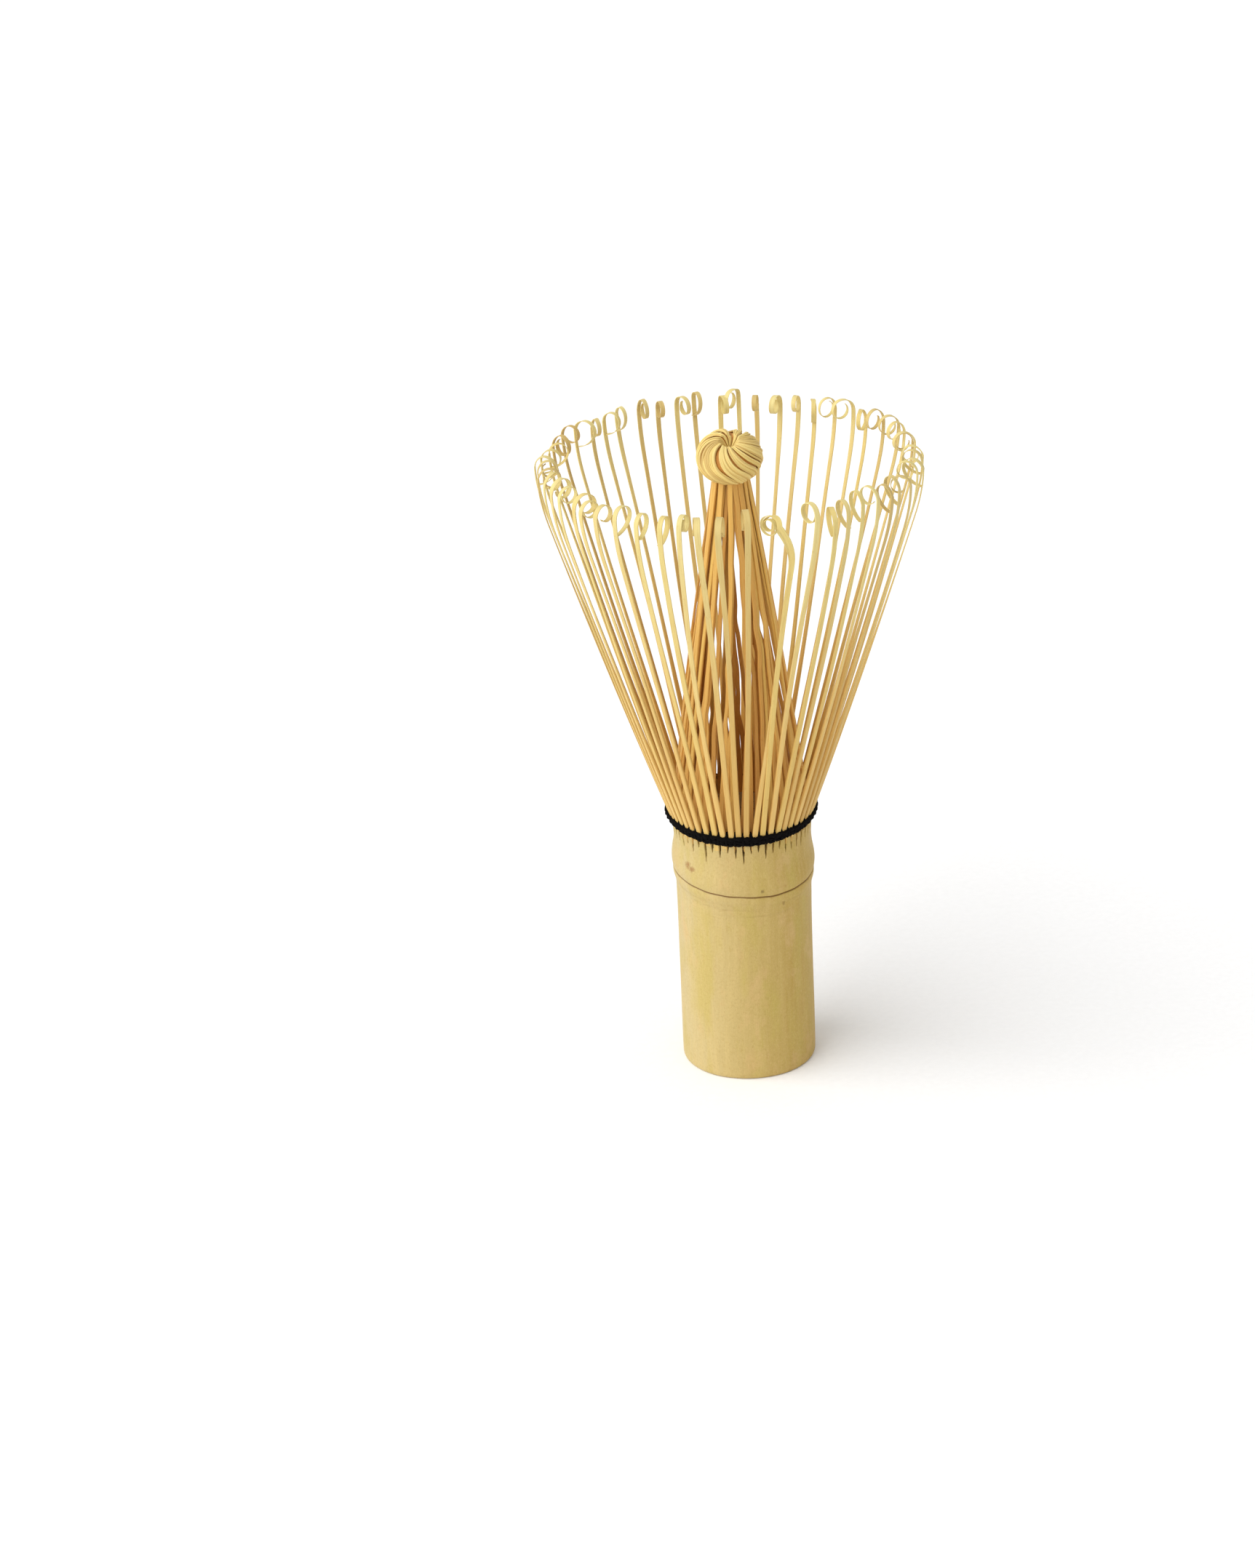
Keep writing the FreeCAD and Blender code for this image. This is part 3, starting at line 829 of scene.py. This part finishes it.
def thread_winding(azimuths, material):
    """Three turns outside the tines, apart at the front and close at the sides, that sink into each gap."""
    count = len(azimuths)
    steps = count * 10 * THREAD_TURNS
    points, radii = [], []
    for step in range(steps + 1):
        share = step / steps
        azimuth = math.radians(40) + share * THREAD_TURNS * math.tau
        level = (share * THREAD_TURNS) - 1.5
        front = max(0.0, -math.sin(azimuth + math.radians(6)))
        nearest = min(abs((azimuth - a + math.pi) % math.tau - math.pi) for a in azimuths)
        over_tine = smooth(1 - nearest / (math.pi / count))
        wave = 0.05 * math.sin(azimuth * 17 + level * 3) + 0.07 * math.sin(azimuth * 41 + level * 5)
        height = thread_height(azimuth) + level * mix(0.2, 0.52, front ** 0.7) + wave
        radius = tine_surface(height) + THREAD_HALF - 0.12 + 0.12 * over_tine
        points.append(Vector((radius * math.cos(azimuth), radius * math.sin(azimuth), height)))
        radii.append(mix(0.2, 0.3, front) + 0.03 * over_tine + 0.045 * math.sin(azimuth * 67 + 2.3 * level))
    return ply_tube("thread_winding", points, radii, material)


def thread_inner_round(azimuths, material):
    """The round between the two rows of tines."""
    steps = len(azimuths) * 6
    points = []
    for step in range(steps):
        azimuth = step / steps * math.tau
        radius = 10.55 + 0.02 * math.sin(azimuth * 28)
        height = thread_height(azimuth) + 0.85
        points.append(Vector((radius * math.cos(azimuth), radius * math.sin(azimuth), height)))
    return ply_tube("thread_inner_round", points, [0.15] * steps, material, closed=True, size=8)


def thread_stitches(azimuths, material):
    """One stitch in each gap, over the top of the winding and down between the rows."""
    rng = random.Random(77)
    count = len(azimuths)
    pieces = []
    for i in range(count):
        gap = (azimuths[(i + 1) % count] - azimuths[i]) % math.tau
        azimuth = azimuths[i] + gap / 2
        base = thread_height(azimuth)
        surface = tine_surface(base)
        front = max(0.0, -math.sin(azimuth))
        peak = rng.uniform(0.8, 1.1) + 0.5 * front
        route = ((surface + 0.1, base - 0.3 - 0.4 * front, 0.16), (surface + 0.4, base - 0.15, 0.22),
                 (surface + 0.4, base + 0.35, 0.24), (surface + 0.2, base + 0.5 + 0.4 * front, 0.26),
                 (surface - 0.02, base + peak, 0.12), (surface - 0.35, base + peak, 0.1),
                 (10.7, base + 0.85, 0.1))
        points, radii = [], []
        for k in range(18):
            spot = k / 17 * (len(route) - 1)
            low = min(int(spot), len(route) - 2)
            share = smooth(spot - low)
            values = [mix(a, b, share) for a, b in zip(route[low], route[low + 1])]
            points.append(turned(values[0], azimuth, values[1]) / MM)
            radii.append(values[2])
        pieces.append(ply_tube(f"thread_stitch_{i + 1:02d}", points, radii, material, size=8))
    return pieces


def joined(name, pieces):
    """One object from several."""
    bpy.ops.object.select_all(action="DESELECT")
    for piece in pieces:
        piece.select_set(True)
    bpy.context.view_layer.objects.active = pieces[0]
    bpy.ops.object.join()
    pieces[0].name = name
    pieces[0].data.name = name
    return pieces[0]


# ---------------------------------------------------------------- studio

def camera():
    """The photograph's view: above and in front, turned and tipped a little."""
    data = bpy.data.cameras.new("camera")
    data.lens = CAMERA_LENS
    data.sensor_width = CAMERA_SENSOR
    made = bpy.data.objects.new("camera", data)
    bpy.context.collection.objects.link(made)
    aim = (Matrix.Rotation(math.radians(CAMERA_YAW), 4, "Z")
           @ Matrix.Rotation(math.radians(CAMERA_PITCH), 4, "X")
           @ Matrix.Rotation(math.radians(CAMERA_ROLL), 4, "Y"))
    look = Matrix.Rotation(math.radians(90), 4, "X")
    made.matrix_world = Matrix.Translation(Vector(CAMERA_PLACE) * MM) @ aim @ look
    bpy.context.scene.camera = made


def studio():
    """A white floor under an even white sky, with one very broad light high on the left."""
    vertices = [(x * FLOOR_HALF, y * FLOOR_HALF, 0) for x, y in ((-1, -1), (1, -1), (1, 1), (-1, 1))]
    floor = mesh_piece("studio_floor", vertices, [(0, 1, 2, 3)], floor_material())
    world = bpy.data.worlds.new("studio_world")
    world.use_nodes = True
    background = world.node_tree.nodes["Background"]
    background.inputs["Color"].default_value = (1.0, 1.0, 1.0, 1.0)
    background.inputs["Strength"].default_value = SKY_STRENGTH
    bpy.context.scene.world = world
    data = bpy.data.lights.new("key", "SUN")
    data.energy = KEY_STRENGTH
    data.angle = math.radians(KEY_SPREAD)
    key = bpy.data.objects.new("key", data)
    azimuth, elevation = math.radians(KEY_AZIMUTH), math.radians(KEY_ELEVATION)
    towards = Vector((math.cos(azimuth) * math.cos(elevation), math.sin(azimuth) * math.cos(elevation),
                      math.sin(elevation)))
    key.rotation_euler = towards.to_track_quat("Z", "Y").to_euler()
    bpy.context.collection.objects.link(key)
    bpy.context.scene.view_settings.view_transform = "Standard"


# ---------------------------------------------------------------- assembly

def build():
    """Makes every piece, and hangs the grip, the crown and the thread on their bodies; the tines and sticks
    stay in place.
    """
    outer = tine_material("bamboo_tine", rgb(227, 189, 113), rgb(216, 169, 88), rgb(230, 216, 148),
                          rgb(176, 133, 60))
    # Painted shade: the inner tines are the same bamboo as the outer ones, recoloured warmer, more saturated
    # and darker for the shade inside the whisk.
    core = tine_material("bamboo_core", rgb(232, 186, 98), rgb(224, 162, 74), rgb(232, 188, 100),
                         rgb(168, 106, 44))
    strands = tine_material("bamboo_crown", rgb(245, 219, 138), rgb(228, 192, 108), rgb(246, 224, 148),
                            rgb(166, 120, 52))
    black = thread_material()
    hinges = {joint["child"]: joint for joint in frame["joints"]}
    bodies = sorted(body for body in hinges if body.startswith("outer_tine_"))
    azimuths = [math.atan2(hinges[body]["pos_m"][1], hinges[body]["pos_m"][0]) % math.tau for body in bodies]

    grip = culm(azimuths, culm_material())
    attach(grip, "grip")
    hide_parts("handle")

    bent_index = min(range(len(azimuths)), key=lambda i: abs(degrees_past(azimuths[i], BENT_TINE_AZIMUTH)))
    for index, (body, azimuth) in enumerate(zip(bodies, azimuths)):
        tine = outer_tine(index, azimuth, index == bent_index, outer)
        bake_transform(tine)
        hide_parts(body)

    spacing = math.tau / len(azimuths)
    sticks = [inner_stick(index, index * spacing, core) for index in range(len(azimuths))]
    bundle = joined("inner_sticks", sticks)
    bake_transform(bundle)
    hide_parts("inner_tines")

    bun = joined("crown_strands", [crown_strand(index, strands) for index in range(CROWN_STRANDS)])
    filling = crown_filling(core)
    for piece in (bun, filling):
        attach(piece, "core")
        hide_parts("crown")

    winding = thread_winding(azimuths, black)
    inner_round = thread_inner_round(azimuths, black)
    stitches = joined("thread_stitches", thread_stitches(azimuths, black))
    for piece in (winding, inner_round, stitches):
        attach(piece, "grip")
        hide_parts("binding_thread")


camera()
studio()
build()
